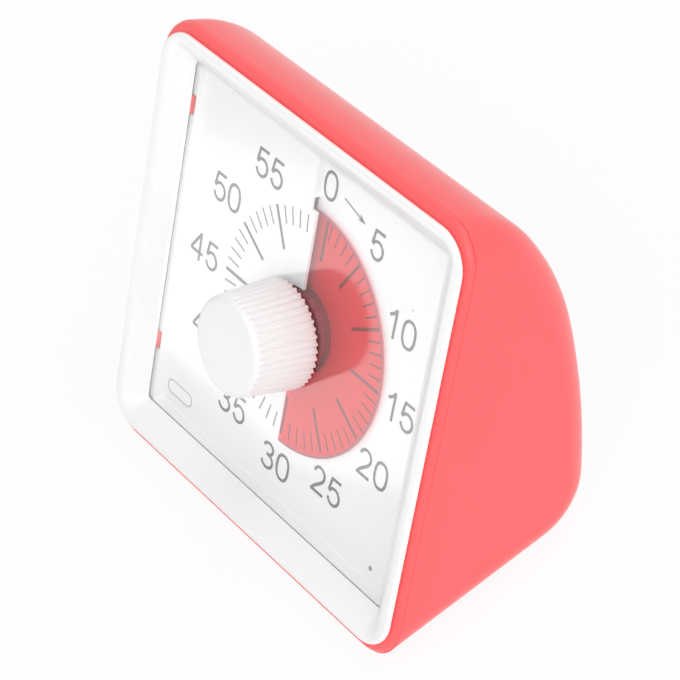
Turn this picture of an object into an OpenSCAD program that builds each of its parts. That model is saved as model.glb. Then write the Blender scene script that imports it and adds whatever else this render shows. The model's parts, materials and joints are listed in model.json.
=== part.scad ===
// Visual countdown timer: leaning wedge case, square dial behind a clear lens,
// red time disc that winds through a slit in a shallow spiral dial, and one
// large fluted knob. Everything is drawn in the frame of the dial face
// (x right, y up the face, z out of the face) and then leaned back.

/* [Case] */
// Width of the case across the face
case_w = 78; // [77:0.5:82]
// Height of the case along the leaning face
case_h = 76.5; // [76:0.5:79]
// How far the face leans back from upright, degrees
lean = 26; // [24:0.5:27]
// Wall of the rear shell
wall = 1.8; // [1.6:0.1:2]
// Corner radius of the case seen from the front
case_corner_r = 7; // [6.6:0.1:8]
// Radius of the long edges round the sides of the shell
edge_r = 6.5; // [6:0.1:6.5]

/* [Dial] */
// Radius of the red time disc
disc_r = 20.8; // [20:0.1:21.4]
// Rise of the spiral dial in one turn
dial_pitch = 1.6; // [1.5:0.05:1.6]
// How far the lens reaches under the white frame
lens_lap = 1.9; // [1.8:0.1:2.2]
// Radius of the hole in the middle of the dial
dial_hole_r = 7.2; // [6.8:0.1:7.4]

/* [Knob] */
// Radius of the knob at its base
knob_r = 9; // [8.5:0.1:10]
// Length of the knob in front of the lens
knob_len = 11.2; // [10.5:0.1:13]
// Taper of the knob radius from base to front
knob_taper = 0.75; // [0.4:0.05:0.9]
// Number of finger flutes
knob_flutes = 45; // [36:1:50]

/* [Clearances] */
// Radial play of turning fits
run_fit = 0.05; // [0.03:0.01:0.1]
// Gap round loose panels
panel_gap = 0.2; // [0.15:0.05:0.3]

/* [Hidden] */
$fn = 64;
half_w = case_w / 2;
half_h = case_h / 2;

// stack along the face normal, dial level at 12 o'clock is 0
lens_back = 2.8;
lens_front = 4;
rim_front = 5.4;        // front of the red rim
bezel_front = 6.5;
split_w = 4.3;          // parting line of the case
plate_front = -1.5;     // white plate behind the dial
plate_back = -3;
flange_back = -4.5;
sheet_lap = 1.9;        // the dial's start runs on under its end by this much

// insides of the front, all from the size of the case
tray_w = case_w - 11.6;     // dial tray, lens and mounting plate
tray_h = case_h - 10.1;
ring_w = case_w - 8.1;      // inside of the rim's ring
ring_h = case_h - 7.6;
bezel_w = case_w - 2;       // white frame
bezel_h = case_h - 3.2;
window_w = tray_w - 2 * lens_lap;
window_h = tray_h - 2 * lens_lap;
dial_t = 0.5;
disc_t = 0.25;
disc_rise = 0.55;       // disc above the dial sheet it covers
rest_turn = 180;        // disc edge at 30 minutes

// height of the dial centre above the table, the rim's lower edge clears it by toe_lift
toe_lift = 0.41;
dial_height = half_h * cos(lean) - split_w * sin(lean) + toe_lift;

// side profile: arcs that follow each other, heading angle 0 = straight back,
// the last one ends in the flat foot
arc_r1 = 0.2784 * case_h; arc_a1 = 43.4;
arc_r2 = 0.6601 * case_h; arc_a2 = 64.1;
arc_r3 = 1.6889 * case_h; arc_a3 = 77.8;
arc_a4 = 180 - lean;
function out(a) = [cos(a), -sin(a)];
prof_start = [half_h, split_w];
arc_c1 = prof_start - arc_r1 * out(0);
arc_c2 = arc_c1 + (arc_r1 - arc_r2) * out(arc_a1);
arc_c3 = arc_c2 + (arc_r2 - arc_r3) * out(arc_a2);
arc_r4 = (dial_height - (arc_c3 + arc_r3 * out(arc_a3)) * out(arc_a4)) / (1 - cos(arc_a4 - arc_a3));
arc_c4 = arc_c3 + (arc_r3 - arc_r4) * out(arc_a3);

buzzer_a = 69.5;        // heading angle of the sounder and the switch on the back
buzzer_x = 14;
switch_x = -14;
switch_throw = 2;

// depth of the front edge and of the switch tip, the origin lies midway
front_y = -bezel_h / 2 * sin(lean) - bezel_front * cos(lean);
switch_tip = arc_c3 + (arc_r3 + 1.2) * out(buzzer_a) + 1.2 * [-sin(buzzer_a), -cos(buzzer_a)];
back_y = switch_tip[0] * sin(lean) - switch_tip[1] * cos(lean);
face_y = -(front_y + back_y) / 2;

function inset_pt(c, r, a) = c + (r - edge_r) * out(a);
shell_pts = concat(
    [for (i = [0:4]) inset_pt(arc_c1, arc_r1, arc_a1 * i / 4)],
    [for (i = [1:3]) inset_pt(arc_c2, arc_r2, arc_a1 + (arc_a2 - arc_a1) * i / 3)],
    [for (i = [1:3]) inset_pt(arc_c3, arc_r3, arc_a2 + (arc_a3 - arc_a2) * i / 3)],
    [for (i = [1:5]) inset_pt(arc_c4, arc_r4, arc_a3 + (arc_a4 - arc_a3) * i / 5)],
    [[(-dial_height + edge_r) / cos(lean), 0]]);

screw_spots = [for (i = [-1, 1]) each [[i * (half_w - 9), half_h - 12.25], [i * (half_w - 7), 11.75 - half_h]]];
clip_spots = [for (i = [-1, 1]) each [[i, tray_h / 2 - 9.45], [i, 12.9 - tray_h / 2]]];
clip_l = 3.2;

cell_r = 7.15;
cell_l = 50.5;
// middle of the cell across and behind the face, it lies just above the foot
cell_at = arc_c4 + [-0.24, -1.7];
cell_z = dial_height + cell_at[0] * cos(lean) + cell_at[1] * sin(lean);
door_lip = 1.2;             // ledge the door sits on
bay_l = cell_l / 2 + 3.95;  // half length of the bay with its contacts

// movement box, its inside stack is drawn for a floor at -12
mov_x = 21;
mov_y0 = -16;
mov_y1 = 21;
mov_front = plate_back;
mov_mid = -4.2;
mov_floor = -12;
mov_back = -13.2;
mov_k = (mov_mid - (cell_at[1] + cell_r + 0.85)) / (mov_mid - mov_back);
module in_mov() {
    translate([0, 0, mov_mid]) scale([1, 1, mov_k]) translate([0, 0, -mov_mid]) children();
}
wheel2 = [8.5, 8.5];
rotor_at = [2.5, 13.3];
mov_screws = [[-18.5, 18.5], [18.5, 18.5], [-18.5, -13.5], [18.5, -13.5]];

shaft_r = 2;
knob_base = lens_front + 0.15;

// ---------- helpers ----------
module face() {
    translate([0, face_y, dial_height]) rotate([90 - lean, 0, 0]) children();
}

module rrect(w, h, r) {
    x = w / 2 - r;
    y = h / 2 - r;
    square([w, h - 2 * r], center = true);
    square([w - 2 * r, h], center = true);
    for (i = [-1, 1], j = [-1, 1]) translate([i * x, j * y]) circle(r);
}

module slab(w, h, r, z0, z1) {
    translate([0, 0, z0]) linear_extrude(z1 - z0) rrect(w, h, r);
}

module box(x0, x1, y0, y1, z0, z1) {
    translate([x0, y0, z0]) cube([x1 - x0, y1 - y0, z1 - z0]);
}

module rod(r, z0, z1) {
    translate([0, 0, z0]) cylinder(r = r, h = z1 - z0);
}

// a place on the back wall, local z pointing out of the case
module at_back(x, a) {
    p = arc_c3 + arc_r3 * out(a);
    translate([x, p[0], p[1]]) rotate([-(90 + a), 0, 0]) children();
}

// outer body of the rear shell, d = inset from the outside
module body(d, front) {
    intersection() {
        hull() {
            slab(case_w - 2 * d, case_h - 2 * d, case_corner_r - d, front - 0.4, front);
            for (p = shell_pts, s = [-1, 1])
                translate([s * (half_w - edge_r), p[0], p[1]])
                    sphere((edge_r - d) / cos(7.5), $fn = 24);
        }
        box(-60, 60, -60, 60, -60, front);
    }
}

module above_table(z = 0) {
    translate([-60, -60, z]) cube([120, 120, 120]);
}

// shallow spiral sheet, a = clockwise from the start, thickness downwards
function box_r(a, h) = 1 / max(abs(sin(a)) / h[0], abs(cos(a)) / h[1]);
module spiral(r0, h, start, z0, pitch, t, n = 72) {
    pts = [for (i = [0:n], k = [0:3])
        let (a = 360 * i / n, b = a + start, z = z0 + pitch * i / n,
             r = k < 2 ? r0 : (is_list(h) ? box_r(b, h) : h),
             zz = (k == 0 || k == 3) ? z : z - t)
        [r * sin(b), r * cos(b), zz]];
    sides = [for (i = [0:n - 1], k = [0:3])
        let (p = 4 * i + k, q = 4 * i + (k + 1) % 4)
        each [[p, q + 4, q], [p, p + 4, q + 4]]];
    ends = [[0, 2, 3], [0, 1, 2], [4 * n, 4 * n + 2, 4 * n + 1],
            [4 * n, 4 * n + 3, 4 * n + 2]];
    polyhedron(points = pts, faces = concat(sides, ends), convexity = 6);
}

module d_bore(r, z0, z1) {
    intersection() {
        rod(r, z0, z1);
        box(-r, r - 0.5, -r, r, z0, z1);
    }
}

// toothed wheel with shallow square teeth
module gear(r, teeth, z0, z1) {
    difference() {
        rod(r, z0, z1);
        for (i = [0:teeth - 1]) rotate(360 * i / teeth)
            box(r - 0.35, r + 1, -PI * r / teeth / 2, PI * r / teeth / 2, z0 - 1, z1 + 1);
    }
}

// ---------- front ----------
// white square frame with a sloping window edge and a skirt that drops inside the rim
module bezel() color("white") face() difference() {
    union() {
        slab(bezel_w, bezel_h, case_corner_r - 1, rim_front, bezel_front);
        slab(ring_w - 0.3, ring_h - 0.3, 3, 0.2, rim_front + 0.1);
    }
    translate([0, 0, lens_front]) scale([window_w / window_h, 1, 1]) rotate(45)
        cylinder(r1 = window_h / sqrt(2), r2 = (window_h / 2 + 2.6) * sqrt(2), h = bezel_front - lens_front + 0.1, $fn = 4);
    slab(window_w, window_h, 0.8, 0, lens_front + 0.1);
    slab(tray_w + 0.2, tray_h + 0.2, 0.8, 0, lens_front);
    // slots where the case clips come through
    for (c = clip_spots) translate([c[0] * (tray_w / 2 - 0.9), c[1], 0])
        box(-1.3, 1.3, -clip_l / 2 - 0.15, clip_l / 2 + 0.15, 3, 4.85);
}

// clear window with the hole for the knob stem
module lens() color([0.9, 0.95, 1, 0.3]) face() difference() {
    slab(tray_w, tray_h, 0.7, lens_back, lens_front);
    rod(5.2, 0, 6);
    for (c = clip_spots) translate([c[0] * (tray_w / 2 - 0.2), c[1], 0])
        box(-1, 1, -clip_l / 2 - 0.15, clip_l / 2 + 0.15, 0, 6);
}

// white tray: the printed floor rises round the clock by one pitch and is slit at 12
module dial_plate() color("white") face() difference() {
    union() {
        difference() {
            slab(tray_w, tray_h, 0.7, plate_front, lens_back);
            slab(tray_w - 2.8, tray_h - 2.8, 0.4, plate_front - 1, lens_back + 1);
        }
        spiral(dial_hole_r, [tray_w / 2 - 0.8, tray_h / 2 - 0.8], 0, 0, dial_pitch, dial_t);
        // the start runs on under the end of the sheet
        box(-sheet_lap, 0.02, dial_hole_r + 0.6, tray_h / 2 - 0.8, -dial_t, 0);
    }
    // wide part of the slit, from the disc's edge outwards
    box(-1.5, 0.15, disc_r + 0.1, tray_h / 2 - 3, dial_pitch - dial_t - 0.3, dial_pitch + 0.3);
    for (c = clip_spots) translate([c[0] * (tray_w / 2 - 0.2), c[1], 0])
        box(-1, 1, -clip_l / 2 - 0.15, clip_l / 2 + 0.15, -3, 6);
}

// white plate behind the dial, carries the movement
module mounting_plate() color("whitesmoke") face() difference() {
    intersection() {
        slab(tray_w, tray_h, 0.7, plate_back, plate_front);
        unface() above_table(wall + 0.2);
    }
    rod(shaft_r + 0.3, -6, 0);
    for (c = clip_spots) translate([c[0] * (tray_w / 2 - 0.2), c[1], 0])
        box(-1, 1, -clip_l / 2 - 0.15, clip_l / 2 + 0.15, -6, 6);
    for (s = mov_screws) translate([s[0], s[1], 0]) rod(0.9, -6, -2.2);
}

// red see-through disc, one turn of a spiral with its own slit
module time_disc() color([0.95, 0.25, 0.3, 0.6]) face()
    spiral(6.3, disc_r, rest_turn,
        disc_rise + disc_t / 2 + dial_pitch * (rest_turn / 360 - 1), dial_pitch, disc_t);

// collar that carries the disc and slides on the flat of the shaft
module disc_hub() color("firebrick") face() difference() {
    rod(6.4, -0.6, 1.75);
    d_bore(shaft_r + run_fit, -2, 3);
}

// fluted knob, hollow behind, stem passes through the lens
module knob() color("white") face() {
    top = knob_base + knob_len;
    r1 = knob_r - knob_taper;
    round_r = 1.4;
    difference() {
        rotate_extrude() {
            polygon([[0, knob_base], [knob_r, knob_base], [r1, top - round_r],
                [r1 - round_r, top], [0, top]]);
            translate([r1 - round_r, top - round_r]) circle(round_r);
        }
        for (i = [0:knob_flutes - 1]) rotate(360 * i / knob_flutes)
            translate([knob_r + 0.12, 0, knob_base - 0.5])
                rotate([0, -atan(knob_taper / (knob_len - round_r)), 0])
                    cylinder(r = 0.42, h = knob_len - round_r + 0.4, $fn = 32);
        difference() {
            rod(knob_r - knob_taper - 1.5, knob_base - 1, top - 2);
            rod(4.6, knob_base - 2, top);
        }
        d_bore(shaft_r, knob_base - 1, knob_base + 9);
    }
    difference() {
        rod(4.6, 2.95, knob_base + 0.1);
        d_bore(shaft_r, 2, knob_base + 1);
    }
}

// steel shaft with a long flat, a collar for the wheel and a rear pivot
module main_shaft() color("silver") face() {
    difference() {
        rod(shaft_r, mov_mid - 0.1, knob_base + 9);
        box(shaft_r - 0.5, shaft_r + 1, -3, 3, -1.9, 20);
    }
    in_mov() {
        rod(shaft_r, -9.4, mov_mid);
        rod(3.4, -8.3, -7.5);
        rod(1.2, mov_floor - 0.7, -9.3);
    }
}

// ---------- case ----------
// room inside the shell behind the split, seen from the side
module inner_profile() {
    rotate([90, 0, 90]) linear_extrude(90, center = true)
        polygon(concat([[-60, -20]],
            [for (i = [6:-1:0]) let (s = 1.6 * i) [half_h - wall - 0.25 - s * s / 2 / (arc_r1 - wall), split_w - s]],
            [[half_h - wall - 0.25, 10], [-60, 10]]));
}

// red rim with the inner flange, the lens clips and the screw bosses
module case_front() color("red") face() difference() {
    intersection() {
        union() {
            difference() {
                union() {
                    slab(case_w, case_h, case_corner_r, split_w, rim_front);
                    intersection() {
                        slab(case_w - 2 * wall - 0.4, case_h - 2 * wall - 1.9,
                            case_corner_r + 4, flange_back, split_w + 0.1);
                        inner_profile();
                        unface() above_table(wall + 0.2);
                    }
                }
                slab(ring_w, ring_h, 3.1, plate_back, 8);
                slab(tray_w - 4.4, tray_h - 4.4, 1, flange_back - 1, 8);
            }
            for (s = screw_spots) translate([s[0], s[1], 0]) rod(3.3, -6.5, plate_back - 0.2);
            for (c = clip_spots) scale([c[0], 1, 1]) translate([tray_w / 2, c[1], 0]) {
                box(-1, -0.05, -clip_l / 2, clip_l / 2, plate_back - 0.5, 4.65);
                box(-1.5, -0.9, -clip_l / 2, clip_l / 2, lens_front + 0.03, 4.65);
            }
        }
        unface() above_table();
    }
    // screw pilots
    for (s = screw_spots) translate([s[0], s[1], 0]) rod(1.1, -8, plate_back - 0.7);
}

// red rear shell
module rear_shell() color("red") intersection() {
    above_table();
    face() difference() {
        union() {
            difference() {
                body(0, split_w);
                body(wall, split_w + 0.3);
            }
            intersection() {
                body(0.3, split_w - 1);
                union() {
                    for (s = screw_spots) translate([s[0], s[1], 0]) rod(3.3, -32, -6.55);
                    at_back(buzzer_x, buzzer_a) rod(7.4, -7.5, 0);
                    at_back(switch_x, buzzer_a) difference() {
                        box(-8, 8, -4.6, 4.6, -6.5, 0);
                        box(-6.4, 6.4, -3.1, 3.1, -9, -1.7);
                    }
                }
            }
        }
        // screw seats and head wells
        for (s = screw_spots) translate([s[0], s[1], 0]) {
            rod(1.4, -20, 0);
            rod(2.7, -40, -8.5);
        }
        // sounder seat and its holes
        at_back(buzzer_x, buzzer_a) {
            rod(6.1, -9, -wall - 0.05);
            for (i = [0:5]) rotate(60 * i) translate([3.2, 0, 0]) rod(0.7, -4, 2);
            rod(0.7, -4, 2);
        }
        // switch window
        at_back(switch_x, buzzer_a)
            box(-2.2 - switch_throw, 2.2 + switch_throw, -1.7, 1.7, -4, 2);
        // step and opening for the battery door
        difference() {
            door_box(0);
            body(wall - 0.8, split_w);
        }
        door_box(door_lip);
    }
}

module unface() {
    rotate([lean - 90, 0, 0]) translate([0, -face_y, -dial_height]) children();
}

// straight block behind the cell, g = gap inside the door opening
module door_box(g) {
    w = cell_l / 2 + 1.5 + door_lip - g;
    h = cell_r + 0.35 + door_lip - g;
    y = face_y + cell_at[0] * sin(lean) - cell_at[1] * cos(lean);
    unface() translate([-w, y, cell_z - h]) cube([2 * w, 40, 2 * h]);
}

// battery door, comes straight off to the rear
module battery_door() color("red") face() {
    difference() {
        intersection() {
            body(0, split_w);
            door_box(panel_gap);
        }
        body(wall - 0.85, split_w);
        // thumb grips
        for (k = [0, 1, 2]) at_back(0, 75 + 0.7 * k) box(-6, 6, -0.3, 0.3, -0.3, 1);
    }
}

// ---------- power ----------
module cell_axis() {
    translate([0, cell_at[0], cell_at[1]]) rotate([0, 90, 0]) children();
}

module battery() color("steelblue") face() cell_axis() {
    rod(cell_r, -cell_l / 2, cell_l / 2 - 1.2);
    rod(2.7, cell_l / 2 - 1.3, cell_l / 2);
}

// cradle on the back of the movement
module battery_holder() color("dimgray") face() difference() {
    union() {
        box(-bay_l - 1.8, bay_l + 1.8, cell_at[0] - 8.8, cell_at[0] + 8.4, cell_at[1] + 0.5, cell_at[1] + cell_r + 0.85);
        for (s = [-1, 1]) translate([s * (bay_l + 0.9), 0, 0])
            box(-0.9, 0.9, cell_at[0] - 5.4, cell_at[0] + 6.4, cell_at[1] - 4.5, cell_at[1] + cell_r - 0.15);
    }
    cell_axis() rod(cell_r + 0.1, -bay_l, bay_l);
    // clear the screw tubes
    for (s = screw_spots) translate([s[0], s[1], 0]) rod(4, -30, 0);
}

// positive contact
module contact_plate() color("silver") face() cell_axis() {
    rod(4.4, cell_l / 2 + 0.02, cell_l / 2 + 0.45);
    translate([0, 0, cell_l / 2 + 0.4]) rod(1.4, 0, bay_l - cell_l / 2 - 0.4);
}

// negative contact, five close turns on a plate
module contact_spring() color("silver") face() cell_axis() {
    rod(4.6, -bay_l, 0.4 - bay_l);
    for (i = [0:4]) translate([0, 0, -cell_l / 2 - 3.17 + 0.68 * i]) rotate_extrude()
        translate([4 - 0.3 * i, 0]) circle(0.42, $fn = 24);
}

// ---------- movement ----------
module movement_front() color("gainsboro") face() difference() {
    box(-mov_x, mov_x, mov_y0, mov_y1, mov_mid, mov_front);
    rod(shaft_r + run_fit, -6, 0);
    translate([wheel2[0], wheel2[1], 0]) rod(0.6 + run_fit, -6, mov_mid + 0.6 * mov_k);
    translate([rotor_at[0], rotor_at[1], 0]) rod(0.5 + run_fit, -6, mov_mid + 0.6 * mov_k);
    for (s = mov_screws) translate([s[0], s[1], 0]) rod(1.1, -6, 0);
}

module movement_back() color("gainsboro") face() in_mov() difference() {
    union() {
        difference() {
            box(-mov_x, mov_x, mov_y0, mov_y1, mov_back, mov_mid);
            box(-mov_x + 1.2, mov_x - 1.2, mov_y0 + 1.2, mov_y1 - 1.2, mov_floor, mov_mid + 1);
        }
        for (s = mov_screws) translate([s[0], s[1], 0]) rod(2, mov_back + 0.5, mov_mid);
        // posts under the stator and the circuit board
        for (p = [[-12, 15.5], [6.3, 17.6], [-12, -9.5]]) translate([p[0], p[1], 0])
            rod(1.3, mov_floor - 0.5, -9.6);
        for (p = [[8, -2], [14, -12]]) translate([p[0], p[1], 0])
            rod(1.3, mov_floor - 0.5, -11);
        translate([0, 0, 0]) rod(2.4, mov_floor - 0.5, -10);
    }
    rod(1.2 + run_fit, mov_floor - 0.8, -8);
    translate([wheel2[0], wheel2[1], 0]) rod(0.6 + run_fit, mov_floor - 0.6, -8);
    translate([rotor_at[0], rotor_at[1], 0]) rod(0.5 + run_fit, mov_floor - 0.6, -8);
    for (s = mov_screws) translate([s[0], s[1], 0]) {
        rod(1.1, -20, 0);
        rod(2.1, -20, mov_back + 1.4);
    }
}

module centre_wheel() color("gold") face() in_mov() difference() {
    union() {
        gear(9.5, 48, -6.3, -5.3);
        rod(3.2, -6.9, -6.2);
    }
    rod(shaft_r + run_fit, -8, -4);
}

// wavy washer that lets the knob slip on the wheel
module clutch_washer() color("silver") face() in_mov() difference() {
    rod(4.6, -7.45, -6.95);
    rod(shaft_r + 0.2, -9, -6);
}

module second_wheel() color("gold") face() in_mov() translate([wheel2[0], wheel2[1], 0]) {
    gear(2.4, 12, -6.4, -5.2);
    gear(6, 30, -7.6, -6.8);
    rod(0.6, mov_floor - 0.5, mov_mid + 0.5);
}

module rotor() color("slategray") face() in_mov() translate([rotor_at[0], rotor_at[1], 0]) {
    gear(1.55, 8, -7.8, -6.6);
    rod(3, -10.3, -8.3);
    rod(0.5, mov_floor - 0.5, mov_mid + 0.5);
}

module stator() color("silver") face() in_mov() difference() {
    union() {
        box(-14, 8, 9.3, 18.6, -9.6, -8.8);
        box(-14, -10, -11, 10, -9.6, -8.8);
    }
    translate([rotor_at[0], rotor_at[1], 0]) rod(3.35, -12, -6);
    box(-20, -9.2, 12, 14, -12, -6);
}

module coil() color("peru") face() in_mov() difference() {
    box(-15.3, -8.7, -7, 7, -11.8, -6.7);
    box(-14.03, -9.97, -8, 8, -9.63, -8.77);
}

module circuit_board() color("darkgreen") face() in_mov()
    box(4.6, 16.2, -14.5, 1.5, -11, -10.2);

module chip() color("black") face() in_mov() box(10.5, 15.5, -9, -4, -10.2, -9.1);

module crystal() color("silver") face() in_mov() translate([7.5, -12.5, -9.2])
    rotate([-90, 0, 0]) cylinder(r = 1, h = 6);

// ---------- back of the case ----------
module buzzer() color([0.15, 0.15, 0.15]) face() at_back(buzzer_x, buzzer_a) difference() {
    rod(6.05, -7, -wall - 0.1);
    rod(1, -4, 0);
}

module switch_body() color([0.2, 0.2, 0.2]) face() at_back(switch_x, buzzer_a) difference() {
    box(-6.35, 6.35, -3.05, 3.05, -7, -wall - 0.2);
    box(-2.1 - switch_throw, 2.1 + switch_throw, -1.3, 1.3, -4.6, 0);
}

module switch_slider() color("white") face() at_back(switch_x, buzzer_a) {
    box(-2 - switch_throw, 2 - switch_throw, -1.2, 1.2, -4.5, 0.9);
    for (k = [-1, 0, 1]) translate([k * 1.1 - switch_throw, 0, 0]) box(-0.2, 0.2, -1.2, 1.2, 0.8, 1.2);
}

// ---------- fasteners ----------
module screw(r, head_r, z0, z1, head) {
    difference() {
        union() {
            rod(r, z0 - 0.1, z1);
            rod(head_r, z0 - head, z0);
        }
        for (q = [0, 90]) rotate(q) box(-head_r * 0.6, head_r * 0.6, -0.3, 0.3, z0 - head - 1, z0 - head * 0.4);
    }
}

module case_screws() color("silver") face()
    for (s = screw_spots) translate([s[0], s[1], 0]) screw(1.12, 2.4, -8.5, -4, 1.6);

module movement_screws() color("silver") face()
    for (s = mov_screws) translate([s[0], s[1], 0])
        screw(0.92, 1.8, mov_mid + mov_k * (mov_back + 1.4 - mov_mid), -2.4, 1.1 * mov_k);

bezel();
lens();
dial_plate();
mounting_plate();
time_disc();
disc_hub();
knob();
main_shaft();
case_front();
rear_shell();
battery_door();
battery();
battery_holder();
contact_plate();
contact_spring();
movement_front();
movement_back();
centre_wheel();
clutch_washer();
second_wheel();
rotor();
stator();
coil();
circuit_board();
chip();
crystal();
buzzer();
switch_body();
switch_slider();
case_screws();
movement_screws();
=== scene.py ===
"""Visual countdown timer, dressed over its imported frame.

The face leans back 26 degrees. Sizes are in millimetres in the frame of the
dial face, u right, v up, w out of the face, and on_face() sets them in place.
"""
import bpy, bmesh, json, math
import numpy as np
from mathutils import Matrix


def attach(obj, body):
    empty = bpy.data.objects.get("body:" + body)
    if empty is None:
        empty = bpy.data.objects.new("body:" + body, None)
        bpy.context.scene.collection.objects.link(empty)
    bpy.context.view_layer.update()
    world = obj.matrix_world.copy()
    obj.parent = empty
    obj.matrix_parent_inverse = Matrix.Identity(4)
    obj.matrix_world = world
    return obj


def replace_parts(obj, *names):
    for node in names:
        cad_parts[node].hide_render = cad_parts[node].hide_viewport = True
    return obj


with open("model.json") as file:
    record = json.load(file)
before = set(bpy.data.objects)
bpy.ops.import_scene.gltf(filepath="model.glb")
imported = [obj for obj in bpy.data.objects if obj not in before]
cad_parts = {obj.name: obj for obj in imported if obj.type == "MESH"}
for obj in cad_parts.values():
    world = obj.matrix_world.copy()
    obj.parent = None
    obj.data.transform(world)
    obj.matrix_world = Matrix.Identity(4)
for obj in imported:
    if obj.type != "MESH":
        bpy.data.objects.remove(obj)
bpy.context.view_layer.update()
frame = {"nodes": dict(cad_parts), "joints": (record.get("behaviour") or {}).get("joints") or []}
bpy.context.scene.view_settings.view_transform = "Standard"

# ---- camera ---------------------------------------------------------------
# A long lens from the upper right, rolled as the photograph is. The place and
# the turn come from a fit of the dial's own ring of marks.
LEAN = math.radians(26)
PICTURE_PX, FOCAL_PX = 680, 2820.9
dial_foot = next(j for j in frame["joints"] if j["name"] == "knob_turn")["pos_m"]


def on_face(u, v, w):
    """Turns (u, v, w) back about the u axis by the lean and moves it to the dial's centre, in metres."""
    u, v, w = np.broadcast_arrays(*(np.asarray(a, float) for a in (u, v, w)))
    y = v * math.sin(LEAN) - w * math.cos(LEAN)
    z = v * math.cos(LEAN) + w * math.sin(LEAN)
    return np.stack([u, y, z], -1) / 1000 + np.array(dial_foot)


def face_turn(rows):
    """The same turn for directions, given as columns u, v, w."""
    turn = on_face(*np.eye(3)) - on_face(0, 0, 0)
    return (np.asarray(rows, float) @ turn) * 1000


def stand(x, y, z, at):
    """Matrix with these three axes at a place in metres."""
    return Matrix([[x[i], y[i], z[i], at[i]] for i in range(3)] + [[0, 0, 0, 1]])


eye = on_face(286.44, 223.17, 251.88)
right, down, ahead = face_turn([[0.592947, 0.155588, -0.790067],
                                [0.490486, -0.847921, 0.201129],
                                [-0.638621, -0.506776, -0.579086]])
lens_data = bpy.data.cameras.new("view")
lens_data.sensor_width = 36
lens_data.lens = 36 * FOCAL_PX / PICTURE_PX
lens_data.clip_start, lens_data.clip_end = 0.01, 20
view = bpy.data.objects.new("view", lens_data)
bpy.context.scene.collection.objects.link(view)
view.matrix_world = stand(right, -down, -ahead, eye)
bpy.context.scene.camera = view


# ---- rear shell -----------------------------------------------------------
# The red moulded back: a flat foot, a back that rises in four arcs to the top
# of the face, and long edges rounded by 6.5 mm. ABS with a wall of 1.8 mm,
# held to the front by four screws that stand in tubes.
HALF_W, HALF_H, EDGE, SPLIT, WALL = 39.0, 38.25, 6.5, 4.3, 1.8
PARTING = 0.08  # depth and half width of the groove at the parting line
ARCS = [(21.3, 43.4), (50.5, 64.1), (129.2, 77.8), (11.91, 154.0)]  # radius, heading at the end
ARC_STEPS, CORNER_STEPS, FOOT_STEPS = (26, 14, 10, 26), 9, 8


def side_line(n):
    """Side view as points and outward normals: each arc is centre + radius * (cos a, -sin a), and the next centre
    lies on the line through the join, so the line stays smooth."""
    centre, turned, points, normals = np.array([HALF_H - ARCS[0][0], SPLIT]), 0.0, [], []
    for i, (radius, until) in enumerate(ARCS):
        a = np.radians(np.linspace(turned, until, n[i] + 1)[(i > 0):])
        out = np.stack([np.cos(a), -np.sin(a)], -1)
        points.append(centre + radius * out)
        normals.append(out)
        if i + 1 < len(ARCS):
            centre = centre + (radius - ARCS[i + 1][0]) * out[-1]
        turned = until
    return np.concatenate(points), np.concatenate(normals)


def grid_faces(rows, cols, wrap_rows=False, wrap_cols=False):
    """Quads between neighbours of a rows x cols grid of points, numbered row by row."""
    i, j = np.meshgrid(np.arange(rows - (not wrap_rows)), np.arange(cols - (not wrap_cols)), indexing="ij")
    i2, j2 = (i + 1) % rows, (j + 1) % cols
    return np.stack([i * cols + j, i * cols + j2, i2 * cols + j2, i2 * cols + j], -1).reshape(-1, 4)


def ends(count, wide):
    """The two polygons that close a tube of count rings of wide points each."""
    return [list(range(wide))[::-1], list(range((count - 1) * wide, count * wide))]


def surface(name, points, faces, sharp=35, outward=True):
    """Makes a mesh object from points in metres and lists of corner numbers, smooth except at edges over the
    sharp angle. A closed one has its doubles merged and its faces turned outwards."""
    mesh = bpy.data.meshes.new(name)
    mesh.from_pydata(np.asarray(points).reshape(-1, 3).tolist(), [], [list(map(int, f)) for f in faces])
    if outward:
        work = bmesh.new()
        work.from_mesh(mesh)
        bmesh.ops.remove_doubles(work, verts=work.verts, dist=1e-7)
        bmesh.ops.recalc_face_normals(work, faces=work.faces)
        work.to_mesh(mesh)
        work.free()
    mesh.shade_smooth()
    mesh.set_sharp_from_angle(angle=math.radians(sharp))
    made = bpy.data.objects.new(name, mesh)
    bpy.context.scene.collection.objects.link(made)
    return made


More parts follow.
